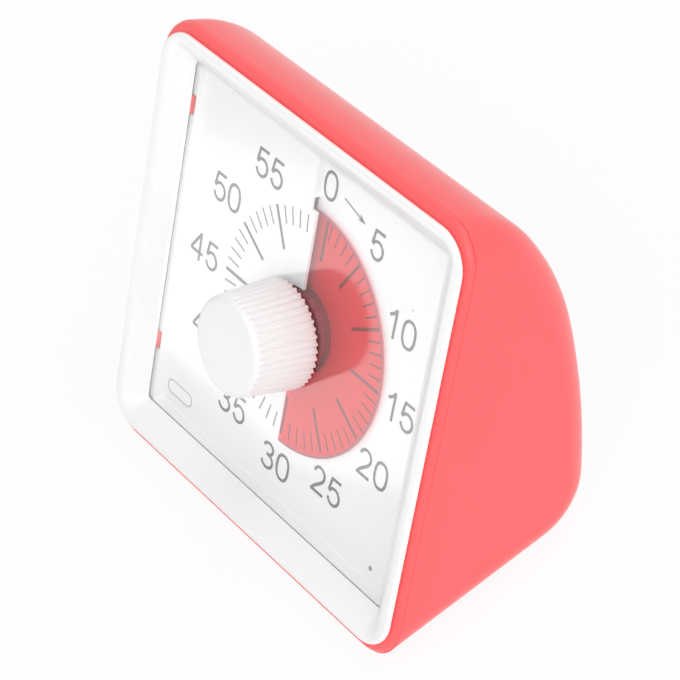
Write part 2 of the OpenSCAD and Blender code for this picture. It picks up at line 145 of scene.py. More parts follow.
def shell_body(name, inset, front, groove=0.0):
    """The whole wedge, inset from its outside. Across the width a point moves from the side by a quarter circle:
    u = 32.5 + r sin t and the side line moved inwards by inset + r (1 - cos t), r = 6.5 - inset."""
    line, out = side_line(ARC_STEPS)
    t = np.radians(np.linspace(90, 0, CORNER_STEPS + 1))
    r = EDGE - inset
    depth = np.concatenate([EDGE - r * np.cos(t), (EDGE - r * np.cos(t))[::-1]])
    across = np.concatenate([-(HALF_W - EDGE) - r * np.sin(t), ((HALF_W - EDGE) + r * np.sin(t))[::-1]])
    rows = [line[:, None, :] - depth[None, :, None] * out[:, None, :]]

    def foot_row(w, lift):
        """The row at w that lies on the table, or above it by the depth and the lift."""
        v = (depth + lift - dial_foot[2] * 1000 - w * math.sin(LEAN)) / math.cos(LEAN)
        return np.stack([v, np.full_like(v, w)], -1)[None]

    # foot: the last point runs forward along the table to the front
    last = rows[0][-1][:, 1].max()
    feet = [foot_row(w, 0) for w in np.linspace(last, front - groove, FOOT_STEPS)[1:]]
    head = [np.stack([HALF_H - depth, np.full_like(depth, front)], -1)[None]] if front > SPLIT else []
    if groove:
        top = rows[0][0].copy()
        head = [np.stack([top[:, 0] - groove, top[:, 1]], -1)[None]]
        rows[0][0, :, 1] -= groove
        feet.append(foot_row(front, groove))
    rows = np.concatenate(head + rows + feet)
    points = on_face(across[None, :], rows[..., 0], rows[..., 1])
    count, wide = rows.shape[:2]
    faces = grid_faces(count, wide).tolist()
    number = np.arange(count * wide).reshape(count, wide)
    faces.append(number[:, 0].tolist())
    faces.append(number[::-1, -1].tolist())
    faces.append(number[0, ::-1].tolist() + number[-1].tolist())
    return surface(name, points, faces)


def block(name, u, v, w, placed=on_face):
    """A cutter with flat sides, from the low and high corners."""
    corner = np.array([[u[i], v[j], w[k]] for i in (0, 1) for j in (0, 1) for k in (0, 1)])
    sides = [[0, 1, 3, 2], [4, 6, 7, 5], [0, 4, 5, 1], [2, 3, 7, 6], [0, 2, 6, 4], [1, 5, 7, 3]]
    return surface(name, placed(*corner.T), sides)


def circle(u, v, radius, sides):
    """Points round a centre: u + radius cos a, v + radius sin a."""
    a = np.linspace(0, 2 * np.pi, sides, endpoint=False)
    return u + radius * np.cos(a), v + radius * np.sin(a)


def peg(name, u, v, radius, w0, w1, sides=48, placed=on_face):
    """A round cutter along w: two rings of points closed by their own polygons."""
    x, y = circle(u, v, radius, sides)
    points = np.concatenate([placed(x, y, np.full(sides, w)) for w in (w0, w1)])
    return surface(name, points, grid_faces(2, sides, wrap_cols=True).tolist() + ends(2, sides))


def carve(piece, *cutters, how="DIFFERENCE", sharp=35):
    """Cuts each cutter out of the piece, keeps the result as plain mesh and removes the cutters."""
    for cutter in cutters:
        step = piece.modifiers.new("cut", "BOOLEAN")
        step.operation, step.solver, step.object = how, "EXACT", cutter
    done = bpy.data.meshes.new_from_object(piece.evaluated_get(bpy.context.evaluated_depsgraph_get()))
    piece.modifiers.clear()
    old, piece.data = piece.data, done
    done.name = piece.name
    bpy.data.meshes.remove(old)
    for cutter in cutters:
        bpy.data.meshes.remove(cutter.data)
    done.shade_smooth()
    done.set_sharp_from_angle(angle=math.radians(sharp))
    return piece


def joined(piece, *others):
    """Adds the other meshes to the piece's own."""
    work = bmesh.new()
    for o in (piece, *others):
        work.from_mesh(o.data)
    work.to_mesh(piece.data)
    work.free()
    for o in others:
        bpy.data.meshes.remove(o.data)
    return piece


def back_spot(x, angle):
    """Gives a placing function for the spot x from the middle where the back has this heading: local v runs up the
    back, local w out of the case."""
    line, out = side_line((1, 1, 200, 1))
    heading = np.degrees(np.arctan2(-out[:, 1], out[:, 0]))
    k = np.argmin(abs(heading - angle))
    spot, away = line[k], out[k]
    up = (math.sin(math.radians(heading[k])), math.cos(math.radians(heading[k])))

    def placed(u, v, w):
        u, v, w = (np.asarray(q, float) for q in (u, v, w))
        return on_face(x + u, spot[0] + w * away[0] + v * up[0], spot[1] + w * away[1] + v * up[1])
    return placed


def level(x, y, z):
    """A point given in table millimetres."""
    return np.stack(np.broadcast_arrays(*(np.asarray(q, float) for q in (x, y, z))), -1) / 1000


SCREWS = [(-30, 26), (30, 26), (-32, -26.5), (32, -26.5)]
WELL_R, SHANK_R, TUBE_R, SEAT_W, TUBE_END = 2.7, 1.4, 3.3, -8.5, -6.55
CELL = (-14.095, -21.179)  # v and w of the cell's middle
CELL_HALF_LEN, CELL_R = 25.25, 7.15
LEDGE = 1.2  # step round the battery opening
cell_y = dial_foot[1] * 1000 + CELL[0] * math.sin(LEAN) - CELL[1] * math.cos(LEAN)
cell_z = dial_foot[2] * 1000 + CELL[0] * math.cos(LEAN) + CELL[1] * math.sin(LEAN)


def door_block(name, gap):
    """The straight block behind the cell that the door and its opening share."""
    half_x, half_z = CELL_HALF_LEN + 1.5 + LEDGE - gap, CELL_R + 0.35 + LEDGE - gap
    return block(name, (-half_x, half_x), (cell_y, cell_y + 40), (cell_z - half_z, cell_z + half_z), placed=level)


SPOT_X, SPOT_HEADING = 14, 69.5
HOLE_RING, HOLE_R = 3.2, 0.7
sounder, volume = back_spot(SPOT_X, SPOT_HEADING), back_spot(-SPOT_X, SPOT_HEADING)
ledge = carve(door_block("ledge", 0), shell_body("ledge_core", WALL - 0.8, SPLIT - 1))
wells = [peg("well", u, v, WELL_R, -40, SEAT_W) for u, v in SCREWS]
spots = [(HOLE_RING * math.cos(q), HOLE_RING * math.sin(q)) for q in np.radians(range(0, 360, 60))] + [(0, 0)]
holes = [peg("hole", u, v, HOLE_R, -4, 2, 24, sounder) for u, v in spots]
slot_cut = block("slot_cut", (-4.2, 4.2), (-1.7, 1.7), (-4, 2), placed=volume)
case_rear = shell_body("case_rear", 0, SPLIT, groove=PARTING)
core = shell_body("core", WALL, SPLIT + 0.3)
carve(case_rear, core, ledge, door_block("opening", LEDGE), slot_cut, *holes, *wells, sharp=32)


def wall_depth(u, v, offset):
    """The w at which the shell's outside, moved in by offset, is met going back from the face: bisection on the
    distance to the wedge, which is the rounded distance from the side line and from the sides."""
    line, out = side_line((60, 60, 60, 60))

    def inside(w):
        gap = np.stack([v, w], -1)[..., None, :] - line
        near = np.argmin((gap ** 2).sum(-1), -1)
        q = np.take_along_axis((gap * out).sum(-1), near[..., None], -1)[..., 0]
        a, b = q + EDGE, abs(u) - HALF_W + EDGE
        return np.hypot(np.maximum(a, 0), np.maximum(b, 0)) + np.minimum(np.maximum(a, b), 0) - EDGE + offset

    low, high = np.full(np.shape(u), -45.0), np.full(np.shape(u), -6.0)
    for _ in range(30):
        mid = (low + high) / 2
        out_there = inside(mid) > 0
        low, high = np.where(out_there, mid, low), np.where(out_there, high, mid)
    return (low + high) / 2


def screw_tube(name, u, v, sides=48):
    """The tube a case screw stands in: bore, seat with its hole and outer skin. Both ends lie inside the wall, the
    bore's 0.7 mm deep and the skin's 1.0 mm."""
    rows = []
    for r, w, sunk in ((WELL_R, None, 0.7), (WELL_R, SEAT_W, 0), (SHANK_R, SEAT_W, 0), (SHANK_R, TUBE_END, 0),
                       (TUBE_R, TUBE_END, 0), (TUBE_R, None, 1.0)):
        x, y = circle(u, v, r, sides)
        rows.append(on_face(x, y, wall_depth(x, y, sunk) if w is None else np.full(sides, w)))
    return surface(name, np.stack(rows), grid_faces(6, sides, wrap_rows=True, wrap_cols=True))


joined(case_rear, *[screw_tube("tube", u, v) for u, v in SCREWS])
case_rear.data.set_sharp_from_angle(angle=math.radians(32))


def maths(tree, operation, *values):
    """A Math node whose inputs are plain numbers or the sockets that feed them. Gives its output."""
    node = tree.nodes.new("ShaderNodeMath")
    node.operation = operation
    for socket, value in zip(node.inputs, values):
        if isinstance(value, (int, float)):
            socket.default_value = value
        else:
            tree.links.new(value, socket)
    return node.outputs[0]


def moulded_grain():
    """Group for moulded plastic: a fine noise lifts the surface for Normal, and a coarse one shifts Roughness and Tone
    a little, as flow and handling do. Edge light brightens worn corners by how far they point outwards."""
    group = bpy.data.node_groups.new("moulded_grain", "ShaderNodeTree")
    face = group.interface
    face.new_socket("Colour", in_out="INPUT", socket_type="NodeSocketColor")
    for name, value in (("Grain size", 3000), ("Grain height", 0.02), ("Roughness", 0.4), ("Spread", 0.05),
                        ("Edge light", 0.1)):
        face.new_socket(name, in_out="INPUT", socket_type="NodeSocketFloat").default_value = value
    for name, kind in (("Colour", "NodeSocketColor"), ("Roughness", "NodeSocketFloat"), ("Normal", "NodeSocketVector")):
        face.new_socket(name, in_out="OUTPUT", socket_type=kind)
    n, l = group.nodes, group.links
    given, result = n.new("NodeGroupInput").outputs, n.new("NodeGroupOutput").inputs
    place = n.new("ShaderNodeTexCoord").outputs["Object"]
    fine, broad = n.new("ShaderNodeTexNoise"), n.new("ShaderNodeTexNoise")
    fine.inputs["Detail"].default_value = 2
    broad.inputs["Scale"].default_value, broad.inputs["Detail"].default_value = 90, 4
    l.new(place, fine.inputs["Vector"])
    l.new(place, broad.inputs["Vector"])
    l.new(given["Grain size"], fine.inputs["Scale"])
    # normal
    bump = n.new("ShaderNodeBump")
    bump.inputs["Distance"].default_value = 0.0001
    l.new(given["Grain height"], bump.inputs["Strength"])
    l.new(fine.outputs["Fac"], bump.inputs["Height"])
    l.new(bump.outputs["Normal"], result["Normal"])
    # roughness
    shift = maths(group, "SUBTRACT", broad.outputs["Fac"], 0.5)
    l.new(maths(group, "MULTIPLY_ADD", shift, given["Spread"], given["Roughness"]), result["Roughness"])
    # colour: worn edges first, then the tone
    worn = n.new("ShaderNodeMapRange")
    worn.inputs["From Min"].default_value, worn.inputs["From Max"].default_value = 0.52, 0.62
    l.new(n.new("ShaderNodeNewGeometry").outputs["Pointiness"], worn.inputs["Value"])
    mix = n.new("ShaderNodeMix")
    mix.data_type = "RGBA"
    mix.inputs["B"].default_value = (1, 0.93, 0.92, 1)
    l.new(maths(group, "MULTIPLY", worn.outputs[0], given["Edge light"]), mix.inputs["Factor"])
    l.new(given["Colour"], mix.inputs["A"])
    tone = n.new("ShaderNodeHueSaturation")
    l.new(maths(group, "MULTIPLY_ADD", shift, 0.04, 1), tone.inputs["Value"])
    l.new(mix.outputs["Result"], tone.inputs["Color"])
    l.new(tone.outputs["Color"], result["Colour"])
    return group


grain = moulded_grain()


def grained(name, colour, rough, size, height, spread, edge=0.0, normal=True):
    """A new material whose shader takes colour, roughness and, where wanted, normal from the grain group. Gives the
    material, its tree and its shader."""
    stuff = bpy.data.materials.new(name)
    stuff.use_nodes = True
    tree = stuff.node_tree
    shader = tree.nodes["Principled BSDF"]
    group = tree.nodes.new("ShaderNodeGroup")
    group.node_tree = grain
    group.inputs["Colour"].default_value = (*colour, 1)
    for key, value in (("Grain size", size), ("Grain height", height), ("Roughness", rough), ("Spread", spread),
                       ("Edge light", edge)):
        group.inputs[key].default_value = value
    tree.links.new(group.outputs["Colour"], shader.inputs["Base Color"])
    tree.links.new(group.outputs["Roughness"], shader.inputs["Roughness"])
    if normal:
        tree.links.new(group.outputs["Normal"], shader.inputs["Normal"])
    return stuff, tree, shader


def moulding(name, colour, rough=0.4, size=3000, height=0.02, spread=0.06, edge=0.0, **plain):
    """A plastic, ink or metal finish. The plain values sit on the shader's own sockets."""
    stuff, _, shader = grained(name, colour, rough, size, height, spread, edge)
    for key, value in plain.items():
        shader.inputs[key.replace("_", " ")].default_value = value
    return stuff


def finish(piece, stuff):
    """Puts the material on a new piece or on a CAD node's own slots."""
    if not piece.data.materials:
        piece.data.materials.append(stuff)
    for s in piece.material_slots:
        s.material = stuff
    return piece


case_red = moulding("case_red", (0.98, 0.113, 0.118), rough=0.38, size=2600, height=0.05,
                    Sheen_Weight=0.3, Sheen_Roughness=0.3)
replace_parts(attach(finish(case_rear, case_red), "case"), "rear_shell")


# ---- battery door ---------------------------------------------------------
# Snap-in door of the same red plastic, with three finger grips. It sits flush
# with the back, on the ledge of its opening, and comes straight off to the rear.
DOOR_GAP, DOOR_WALL = 0.2, WALL - 0.85
battery_door = carve(shell_body("case_door", 0, SPLIT - 1), door_block("door_size", DOOR_GAP), how="INTERSECT")
grips = [block("grip", (-6, 6), (-0.3, 0.3), (-0.3, 1), placed=back_spot(0, 75 + 0.7 * k)) for k in (0, 1, 2)]
carve(battery_door, shell_body("door_core", DOOR_WALL, SPLIT), *grips, sharp=32)
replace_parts(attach(finish(battery_door, case_red), "door"), "battery_door")


# ---- front rim ------------------------------------------------------------
# Red rim of the front half: the band between the shell's parting line and the
# white frame, with a ring behind the dial. Four clips moulded with it stand
# through notches in the lens and hook over its stepped rim, under the frame.
RING_ARC, RING_SIDE = 12, 6  # steps in a corner and along a side
QUARTER = np.radians(np.linspace(0, 90, 9))


def ring(half_u, half_v, radius):
    """Rounded rectangle, the same number of points for any size: four quarter circles joined by divided sides."""
    corners = []
    for k, (su, sv) in enumerate(((1, 1), (-1, 1), (-1, -1), (1, -1))):
        a = np.radians(np.linspace(0, 90, RING_ARC + 1)) + k * np.pi / 2
        corners.append(np.stack([su * (half_u - radius) + radius * np.cos(a),
                                 sv * (half_v - radius) + radius * np.sin(a)], -1))
    out = []
    for k in range(4):
        a, b = corners[k], corners[(k + 1) % 4]
        t = np.linspace(0, 1, RING_SIDE + 1)[1:-1, None]
        out += [a, a[-1] + (b[0] - a[-1]) * t]
    return np.concatenate(out)


def ring_points(profile):
    """The rings of a profile of (half u, half v, corner radius, w) rows, in place."""
    rows = [(ring(half_u, half_v, radius), w) for half_u, half_v, radius, w in profile]
    return np.stack([on_face(p[:, 0], p[:, 1], np.full(len(p), w)) for p, w in rows])


def frame_ring(name, profile):
    """A closed profile carried round the face as rings of points."""
    points = ring_points(profile)
    return surface(name, points, grid_faces(*points.shape[:2], wrap_rows=True, wrap_cols=True))


def rounded(half_u, half_v, radius, w, pull, rise, tighten):
    """Rows of a rounded front edge: inwards by pull (1 - cos q) and forwards by rise sin q, with tighter corners."""
    back = 1 - np.cos(QUARTER)
    return np.stack([half_u - pull * back, half_v - pull * back, radius - tighten * back,
                     w + rise * np.sin(QUARTER)], -1).tolist()


def above_table(piece):
    """Keeps what passes below the table on it."""
    co = np.empty(len(piece.data.vertices) * 3, np.float32)
    piece.data.vertices.foreach_get("co", co)
    co[2::3] = np.maximum(co[2::3], 0)
    piece.data.vertices.foreach_set("co", co)
    return piece


case_rim = frame_ring("case_rim", [
    (36.9, 35.4, 9, 4.0), (37.0, 35.5, 9, SPLIT),  # lip inside the shell
    (HALF_W - PARTING, HALF_H - PARTING, 6.8, SPLIT), (HALF_W, HALF_H, 6.9, SPLIT + PARTING),  # parting groove
    *rounded(HALF_W, HALF_H, 6.9, 4.6, pull=0.75, rise=0.8, tighten=0.6),
    (34.95, 34.45, 3.1, 5.4), (34.95, 34.45, 3.1, -2.9),  # opening for the frame's skirt
    (31, 31, 1, -3), (31, 31, 1, -4.5), (33.8, 33.2, 3, -4.5)])  # ring behind the dial
above_table(case_rim)
CLIPS = [(s, v) for s in (-1, 1) for v in (23.75, -20.3)]
CLIP_HALF = 1.6
CLIP_SIDE = np.array([[32.65, 3.1], [32.7, 3.24], [32.9, 3.24], [33.0, 3.1], [33.0, -3.4], [32.65, -3.4]])
clips = []
for s, v in CLIPS:
    sides = [on_face(s * CLIP_SIDE[:, 0], v + e, CLIP_SIDE[:, 1]) for e in (-CLIP_HALF, CLIP_HALF)]
    caps = [list(range(6)), list(range(6, 12))]
    clips.append(surface("clip", np.stack(sides), grid_faces(2, 6, wrap_cols=True).tolist() + caps, 20))
joined(case_rim, *clips)
case_rim.data.set_sharp_from_angle(angle=math.radians(35))
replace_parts(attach(finish(case_rim, case_red), "case"), "case_front")


# ---- white frame ----------------------------------------------------------
# Square bezel of glossy white plastic. A flat front bends into a straight
# slope down to the lens, and a skirt behind it drops inside the red rim.
FOOT_U, FOOT_V, FOOT_W, SKIRT_END = 32.6, 31.65, 3.3, 0.2
# the window edge as (distance out from the foot, w)
slope = [[0.0, FOOT_W], [0.12, FOOT_W + 0.25], [1.5, 4.72], [2.75, 5.88]]
bend_from, bend_pull, bend_to = np.array([[2.75, 5.88], [3.3, 6.4], [4.1, 6.5]])
t = np.linspace(0, 1, 7)[1:, None]
slope += ((1 - t) ** 2 * bend_from + 2 * t * (1 - t) * bend_pull + t ** 2 * bend_to).tolist()
white_frame = frame_ring("white_frame", [
    (34.8, 34.3, 3, SKIRT_END), (34.8, 34.3, 3, 5.42), (37.6, 36.25, 5.6, 5.42), (38.0, 36.65, 6.0, 5.75),
    *rounded(38.0, 36.65, 6.0, 6.0, pull=0.5, rise=0.5, tighten=0.5),
    *[(FOOT_U + out, FOOT_V + out, 0.8 + 0.7 * out, w) for out, w in slope[::-1]],
    (33.3, 33.3, 0.8, FOOT_W), (33.3, 33.3, 0.8, SKIRT_END)])
frame_white = moulding("frame_white", (0.93, 0.93, 0.93), rough=0.32, size=2400, height=0.03)
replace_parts(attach(finish(white_frame, frame_white), "case"), "bezel")


# ---- knob -----------------------------------------------------------------
# White moulded knob pushed on the shaft: 45 round-bottomed flutes for the
# fingers, a slight taper and a soft front edge. It is hollow round its stem,
# which passes through the lens.
KNOB_BASE, KNOB_LEN, KNOB_R, TAPER, SOFT, KNOB_BEVEL = 4.15, 11.2, 9.0, 0.75, 1.4, 0.08
STEM_R, HOLLOW_R, CAP_T = 4.6, 6.8, 3
FLUTES, FLUTE_POINTS, FLUTE_DEPTH = 45, 14, 0.46
top = KNOB_BASE + KNOB_LEN
# radius and w, from the stem's end round the hollow and up the outside
profile = [(2.0, 2.95), (STEM_R, 2.95), (STEM_R, KNOB_BASE), (STEM_R, top - CAP_T), (HOLLOW_R, top - CAP_T),
           (HOLLOW_R, KNOB_BASE), (KNOB_R - 0.06, KNOB_BASE), (KNOB_R, KNOB_BASE + KNOB_BEVEL)]
fluted_from = len(profile) - 2
profile += [(KNOB_R - TAPER * t, KNOB_BASE + KNOB_BEVEL + (KNOB_LEN - SOFT - KNOB_BEVEL) * t)
            for t in np.linspace(0, 1, 10)[1:]]
fluted_to = len(profile)
profile += [(KNOB_R - TAPER - SOFT * (1 - math.cos(q)), top - SOFT + SOFT * math.sin(q)) for q in QUARTER[1:]]
profile = np.array(profile + [(3.0, top), (0.4, top)])
a = np.linspace(0, 2 * np.pi, FLUTES * FLUTE_POINTS, endpoint=False)
# each flute is a round-bottomed groove: depth falls as the cosine of the place across it
across = (a * FLUTES / (2 * np.pi)) % 1 - 0.5
groove = FLUTE_DEPTH * np.cos(np.clip(across / 0.4, -1, 1) * np.pi / 2) ** 0.9
depth = np.zeros(len(profile))
depth[fluted_from:fluted_to] = 1
depth[fluted_to:fluted_to + 3] = (0.75, 0.4, 0.12)
r = profile[:, :1] - depth[:, None] * groove[None]
points = on_face(r * np.sin(a), r * np.cos(a), np.repeat(profile[:, 1:], len(a), 1))
knob_cap = surface("knob_cap", points, grid_faces(*r.shape, wrap_cols=True).tolist() + ends(*r.shape), 40)
knob_white = moulding("knob_white", (0.88, 0.88, 0.88), rough=0.36, size=2400, height=0.03)
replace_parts(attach(finish(knob_cap, knob_white), "knob_group"), "knob")


# ---- dial -----------------------------------------------------------------
# White tray whose floor climbs 1.6 mm in one turn. It is slit at the top, so
# the disc can slide under itself. The marks are one coat of grey ink.
PITCH = 1.6
dial_white = moulding("dial_white", (0.9, 0.9, 0.9), rough=0.45, size=2000)
finish(frame["nodes"]["dial_plate"], dial_white)
inner_white = moulding("inner_white", (0.8, 0.8, 0.8), rough=0.5)
finish(frame["nodes"]["mounting_plate"], inner_white)


def on_dial(u, v, lift=0.03):
    """Lays flat drawing on the climbing floor: w is the pitch times the share of a turn, clockwise from the top.
    Outside the disc the floor's low end reaches 1.95 mm to the left of the top."""
    turn = np.arctan2(u, v) / (2 * np.pi) % 1
    turn = np.where((turn > 0.97) & (u > -1.95) & (v > 20.9), 0, turn)
    return on_face(u, v, PITCH * turn + lift)


PRINT_TURN = math.radians(-0.94)


def printed(u, v):
    """The print is turned by about a degree from the frame."""
    c, s = math.cos(PRINT_TURN), math.sin(PRINT_TURN)
    return u * c - v * s, u * s + v * c


def strips(name, ribbons):
    """One piece of flat ribbons, each a 2 x n grid of points in place."""
    points, faces = [], []
    for ribbon in ribbons:
        faces += (grid_faces(2, ribbon.shape[1]) + sum(len(p) for p in points)).tolist()
        points.append(ribbon.reshape(-1, 3))
    return surface(name, np.concatenate(points), faces, outward=False)


# inner end and half width of a five-minute mark and of a minute mark, and the half width at the top
LONG_MARK, SHORT_MARK, TOP_HALF, MARK_END = (12.76, 0.3), (16.86, 0.14), 0.34, 19.9
marks = []
for minute in range(60):
    inner, half = SHORT_MARK if minute % 5 else LONG_MARK
    half = half if minute else TOP_HALF
    a = minute * np.pi / 30
    along = np.linspace(inner, MARK_END, 5)
    across = np.array([[-half], [half]])
    u, v = printed(along * math.sin(a) + across * math.cos(a), along * math.cos(a) - across * math.sin(a))
    # the top one stands clear of the slit
    marks.append(on_dial(u if minute else u + 0.9, v))
dial_marks = strips("dial_marks", marks)
ink = moulding("ink_grey", (0.13, 0.13, 0.135), rough=0.6, spread=0.1)
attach(finish(dial_marks, ink), "case")


def arc(u, v, ru, rv, start, stop, n=14):
    """Part of an ellipse from one angle in degrees to another."""
    q = np.radians(np.linspace(start, stop, n))
    return np.stack([u + ru * np.cos(q), v + rv * np.sin(q)], -1)


def bend(a, b, c, d, n=9):
    """Cubic curve through a and d, pulled towards b and c."""
    t = np.linspace(0, 1, n)[:, None]
    a, b, c, d = np.array([a, b, c, d], float)
    return (1 - t) ** 3 * a + 3 * t * (1 - t) ** 2 * b + 3 * t ** 2 * (1 - t) * c + t ** 3 * d


def line(*corners):
    """Straight strokes through the corners."""
    return np.array(corners, float)


def fuller(wave):
    """A sine or cosine pushed outwards, so that an oval has fuller shoulders."""
    return np.sign(wave) * abs(wave) ** 0.84


oval = np.radians(np.linspace(0, 360, 49))
# the strokes of each digit, in millimetres from its middle
DIGITS = {
    "0": [np.stack([1.45 * fuller(np.cos(oval)), 2.27 * fuller(np.sin(oval))], -1)],
    "1": [line((0.57, -2.55), (0.57, 2.5)), bend((0.6, 2.45), (0.3, 1.75), (-0.3, 1.3), (-0.98, 1.02))],
    "2": [np.concatenate([arc(-0.08, 1.0, 1.3, 1.27, 172, -18),
                          bend((1.16, 0.6), (0.85, -0.5), (-1.05, -1.15), (-1.4, -2.3))[1:]]),
          line((-1.72, -2.28), (1.5, -2.28))],
    "3": [np.concatenate([arc(-0.1, 1.22, 1.2, 1.05, 168, -90), [[-0.45, 0.17]]]),
          np.concatenate([[[-0.4, 0.17]], arc(-0.05, -1.05, 1.42, 1.22, 88, -166)])],
    "4": [line((0.62, -2.55), (0.62, 2.55)), line((-1.82, -1.08), (1.5, -1.08)), line((-1.72, -0.98), (0.6, 2.42))],
    "5": [line((1.36, 2.27), (-1.12, 2.27)), line((-0.9, 2.3), (-1.32, -0.12)),
          arc(0.02, -0.8, 1.38, 1.47, 157, -164, 20)]}


def stroke(path, half):
    """Ribbon along a line of points: each point moved both ways along the normal of the line there."""
    way = np.gradient(path, axis=0)
    way /= np.linalg.norm(way, axis=1, keepdims=True)
    side = np.stack([-way[:, 1], way[:, 0]], -1) * half
    return np.stack([path - side, path + side])


PEN, DIGIT_STEP, NUMBER_RING = 0.275, 3.96, 25.6
# each number, with the small offset of its print from the ring
NUMBERS = [(0, 0.04, 0.0), (5, 0.19, 0.1), (10, -0.53, -0.08), (15, -0.47, -0.03), (20, 0.09, 0.23), (25, 0.06, 0.23),
           (30, -0.05, 0.14), (35, -0.12, -0.06), (40, -0.3, -0.3), (45, -0.37, -0.42), (50, -0.47, -0.4),
           (55, -0.34, -0.34)]
strokes = []
for value, off_u, off_v in NUMBERS:
    a = value * np.pi / 30
    u0, v0 = printed(NUMBER_RING * math.sin(a), NUMBER_RING * math.cos(a))
    for k, digit in enumerate(str(value)):
        shift = (k - (len(str(value)) - 1) / 2) * DIGIT_STEP
        strokes += [stroke(path, PEN) + (u0 + off_u + shift, v0 + off_v) for path in DIGITS[digit]]
# the arrow from 0 towards 5: a thin shaft and a barbed head
tail, tip = line((4.1, 25.4), (9.9, 23.8))
along = (tip - tail) / np.linalg.norm(tip - tail)
side, neck = np.array([-along[1], along[0]]), tip - 1.9 * along
notch = neck + 0.4 * along
strokes.append(stroke(np.linspace(tail, notch, 6), 0.13))
strokes.append(np.stack([[neck - 0.62 * side, notch, neck + 0.62 * side], [tip, tip, tip]]))
# a hair higher each time, so that strokes that cross don't share a plane
dial_numbers = strips("dial_numbers", [on_dial(r[..., 0], r[..., 1], 0.03 + 0.001 * (i % 3))
                                       for i, r in enumerate(strokes)])
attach(finish(dial_numbers, ink), "case")


# ---- badge and slit wall --------------------------------------------------
# Small raised pill in the lower left corner of the dial, moulded with it, with
# a pale line printed round it. The floor's high end closes the slit at the top
# with a low wall.
BADGE_U, BADGE_V, BADGE_LEN, BADGE_H, BADGE_RISE, BADGE_BASE = -26.9, -28.0, 7.6, 2.9, 0.18, 1.0
BADGE_R = BADGE_H / 2


def pill(a, radius, half):
    """Stadium outline: a circle whose left and right halves are moved apart."""
    return BADGE_U + np.sign(np.cos(a)) * half + radius * np.cos(a), BADGE_V + radius * np.sin(a)


# rings of the foot, the rounded shoulder and the flat top, as (inset, rise)
a = np.linspace(0, 2 * np.pi, 64, endpoint=False)
rows = []
for inset, rise in ((0, 0), (0, BADGE_RISE * 0.6), (BADGE_RISE * 0.4, BADGE_RISE), (BADGE_R - 0.01, BADGE_RISE)):
    u, v = pill(a, BADGE_R - inset, BADGE_LEN / 2 - BADGE_R)
    rows.append(on_face(u, v, np.full(64, BADGE_BASE + rise)))
badge = surface("badge", np.stack(rows), grid_faces(4, 64, wrap_cols=True).tolist(), 30, outward=False)
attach(finish(badge, frame_white), "case")
outline = stroke(np.stack(pill(np.linspace(0, 2 * np.pi, 65), 1.2, 2.25), -1), 0.13)
badge_line = strips("badge_line", [on_face(outline[..., 0], outline[..., 1], np.full(outline.shape[:2], 1.2))])
pale_ink = moulding("pale_ink", (0.5, 0.5, 0.5), rough=0.6)
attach(finish(badge_line, pale_ink), "case")
slit_wall = block("slit_wall", (-1.68, -1.52), (22.75, 31.7), (-0.05, 1.15))
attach(finish(slit_wall, dial_white), "case")


# ---- disc -----------------------------------------------------------------
# One turn of clear red film cut from sheet, stuck on a red collar that slides
# along the shaft. The grey marks show through it. The collar's dark red is partly
# its own colour and partly painted shade from the knob above it.
film, tree, shader = grained("disc_film", (0.93, 0.06, 0.11), rough=0.3, size=1500, height=0.02, spread=0.08)


def mixed(tree, share, first, second):
    """Mixes two shaders on the surface. The share of the second is a plain number or a socket."""
    mix = tree.nodes.new("ShaderNodeMixShader")
    if isinstance(share, float):
        mix.inputs["Fac"].default_value = share
    else:
        tree.links.new(share, mix.inputs["Fac"])
    tree.links.new(first, mix.inputs[1])
    tree.links.new(second, mix.inputs[2])
    tree.links.new(mix.outputs[0], tree.nodes["Material Output"].inputs["Surface"])


tinted = tree.nodes.new("ShaderNodeBsdfTransparent")
tinted.inputs["Color"].default_value = (1.0, 0.27, 0.34, 1)
mixed(tree, 0.94, shader.outputs[0], tinted.outputs[0])
finish(frame["nodes"]["time_disc"], film)
# a thin dark ribbon on top of the film's outer 0.3 mm, half a turn in front and half behind the dial: painted shade
# where the cut edge bends the light away
DISC_R, DISC_RISE, FILM_T = 20.8, 0.55, 0.25
turn = np.linspace(0, 1, 145)
a = np.pi + 2 * np.pi * turn
radius = np.array([[DISC_R - 0.3], [DISC_R]])
height = DISC_RISE + FILM_T / 2 + PITCH * (turn - 0.5) + 0.012
film_edge = strips("film_edge", [on_face(radius * np.sin(a), radius * np.cos(a), height)])
# dark red-grey: painted shade along the film's cut edge
painted_edge_shade = moulding("painted_edge_shade", (0.24, 0.07, 0.11), rough=0.5)
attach(finish(film_edge, painted_edge_shade), "disc_group")
# dark red: partly the collar's own colour, partly painted shade from the knob above it
finish(frame["nodes"]["disc_hub"], moulding("collar_red", (0.3, 0.01, 0.03), rough=0.5))


# ---- lens -----------------------------------------------------------------
# Flat clear polystyrene, 1.2 mm, with a hole for the knob's stem, four notches
# for the clips and a step round its edge that goes under the frame. Two small
# grey dots are drawn on its front. It mirrors the room by twice its Fresnel share.
LENS_BACK, LENS_STEP, LENS_FRONT, LENS_HALF, LENS_GAP = 2.8, 3.2, 4.0, 33.2, 0.05
profile = [(LENS_HALF, LENS_HALF, 0.4, LENS_BACK), (LENS_HALF, LENS_HALF, 0.4, LENS_STEP),
           (FOOT_U - LENS_GAP, FOOT_V - LENS_GAP, 0.6, LENS_STEP),
           (FOOT_U - LENS_GAP, FOOT_V - LENS_GAP, 0.6, LENS_FRONT)]
points = ring_points(profile)
count, wide = points.shape[:2]
clear_window = surface("clear_window", points, grid_faces(count, wide, wrap_cols=True).tolist() + ends(count, wide))
LENS_DOTS = ((29.3, -25.8, 0.42), (27.5, 19.7, 0.14))  # u, v and radius of each grey dot
